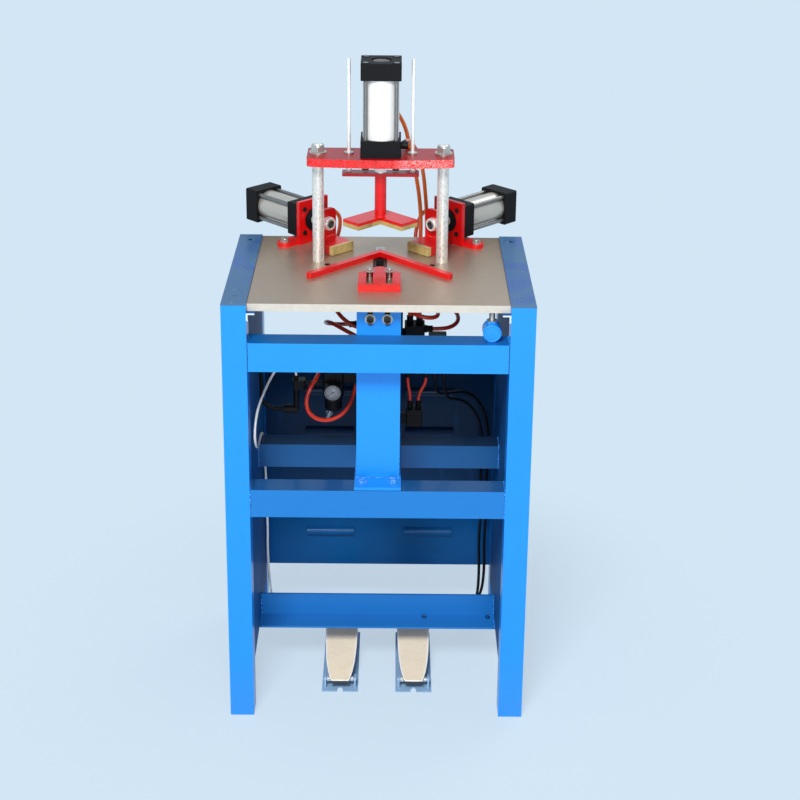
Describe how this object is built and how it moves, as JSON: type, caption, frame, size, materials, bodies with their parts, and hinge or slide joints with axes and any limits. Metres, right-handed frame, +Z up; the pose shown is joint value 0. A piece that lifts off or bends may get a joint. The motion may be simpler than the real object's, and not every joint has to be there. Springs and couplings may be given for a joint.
{
  "type": "picture frame underpinner",
  "caption": "Floor-standing pneumatic underpinner: a mitred picture frame corner is clamped against a V fence under a press while V-nails are driven up through the table.",
  "frame": {"origin": "middle of the machine's footprint on the floor", "axes": "+X to the operator's right, +Y towards the rear, +Z up"},
  "size_m": [0.56, 0.5058, 1.235],
  "materials": {
    "cabinet_paint": "gloss blue enamel",
    "press_paint": "gloss red enamel",
    "table_steel": "ground and worn",
    "post_chrome": "polished, slightly mottled",
    "rod_chrome": "ground and polished",
    "tube_aluminium": "drawn, bright anodised",
    "cap_aluminium": "satin black",
    "dark_steel": "blackened",
    "nose_steel": "hardened and blackened",
    "zinc_fasteners": "bright zinc",
    "dark_fasteners": "black oxide",
    "pad": "tan, soft",
    "black_plastic": "moulded, fine texture",
    "tread": "textured, non-slip",
    "pedal_base": "grey, semi-gloss",
    "orange_hose": "translucent polyurethane",
    "black_hose": "smooth",
    "white_tube": "smooth"
  },
  "bodies": {
    "cabinet": {"legs": "cabinet_paint", "side_panels": "cabinet_paint", "top_strips": "cabinet_paint", "upper_front_beam": "cabinet_paint", "middle_front_beam": "cabinet_paint", "middle_rear_beam": "cabinet_paint", "bottom_rail": "cabinet_paint", "back_panel": "cabinet_paint", "driver_column": "cabinet_paint", "table_jack": "cabinet_paint", "cabinet_screws": "zinc_fasteners", "socket_screws": "dark_fasteners", "hex_fasteners": "zinc_fasteners", "table_plate": "table_steel", "mitre_fence": "press_paint", "magazine_rail": "dark_steel", "nail_nose": "nose_steel", "driver_carrier": "dark_steel", "driver_cylinder": "cap_aluminium", "guide_posts": "post_chrome", "top_plate": "press_paint", "guide_bushes": "dark_steel", "cylinder_caps": "cap_aluminium", "cylinder_tubes": "tube_aluminium", "cylinder_tie_rods": "zinc_fasteners", "left_clamp_bracket": "press_paint", "right_clamp_bracket": "press_paint", "pedal_bases": "pedal_base", "regulator_body": "black_plastic", "pressure_gauge": "black_plastic", "valve_block": "black_plastic", "air_fittings": "black_plastic", "press_hose_upper": "orange_hose", "press_hose_lower": "orange_hose", "left_clamp_hose": "orange_hose", "right_clamp_hose": "orange_hose", "supply_hose": "orange_hose", "regulator_hose": "orange_hose", "inlet_hose": "black_hose", "drain_tube": "white_tube", "manifold_hose_left": "orange_hose", "manifold_hose_right": "orange_hose", "pedal_hose_left": "black_hose", "pedal_hose_right": "black_hose"},
    "press": {"press_rod": "rod_chrome", "press_head": "press_paint", "press_pad": "pad", "guide_rods": "rod_chrome"},
    "left_clamp": {"left_jaw": "press_paint", "left_clamp_rod": "rod_chrome", "left_pad": "pad"},
    "right_clamp": {"right_jaw": "press_paint", "right_clamp_rod": "rod_chrome", "right_pad": "pad"},
    "driver": {"driver_blade": "rod_chrome"},
    "pusher": {"magazine_pusher": "dark_steel"},
    "cover": {"magazine_cover": "press_paint"},
    "left_pedal": {"left_tread": "tread"},
    "right_pedal": {"right_tread": "tread"},
    "knob": {"regulator_knob": "black_plastic"}
  },
  "joints": [
    {"name": "press_slide", "type": "slide", "parent": "cabinet", "child": "press", "axis": [0, 0, -1], "range_m": [0, 0.05]},
    {"name": "left_clamp_slide", "type": "slide", "parent": "cabinet", "child": "left_clamp", "axis": [0.7071, -0.7071, 0], "range_m": [0, 0.025]},
    {"name": "right_clamp_slide", "type": "slide", "parent": "cabinet", "child": "right_clamp", "axis": [-0.7071, -0.7071, 0], "range_m": [0, 0.025]},
    {"name": "driver_slide", "type": "slide", "parent": "cabinet", "child": "driver", "axis": [0, 0, 1], "range_m": [0, 0.018]},
    {"name": "pusher_slide", "type": "slide", "parent": "cabinet", "child": "pusher", "axis": [0, -1, 0], "range_m": [0, 0.12], "stiffness_N_per_m": 10, "springref_m": -0.05},
    {"name": "cover_slide", "type": "slide", "parent": "cabinet", "child": "cover", "axis": [0, 1, 0], "range_m": [0, 0.06]},
    {"name": "left_pedal_hinge", "type": "hinge", "parent": "cabinet", "child": "left_pedal", "pos_m": [-0.0725, -0.15388, 0.017], "axis": [-1, 0, 0], "range_deg": [0, 8], "stiffness_Nm_per_rad": 4, "springref_deg": -11.46},
    {"name": "right_pedal_hinge", "type": "hinge", "parent": "cabinet", "child": "right_pedal", "pos_m": [0.0725, -0.15388, 0.017], "axis": [-1, 0, 0], "range_deg": [0, 8], "stiffness_Nm_per_rad": 4, "springref_deg": -11.46},
    {"name": "knob_turn", "type": "hinge", "parent": "cabinet", "child": "knob", "pos_m": [-0.088, -0.04788, 0.662], "axis": [0, 0, 1], "continuous": true}
  ]
}
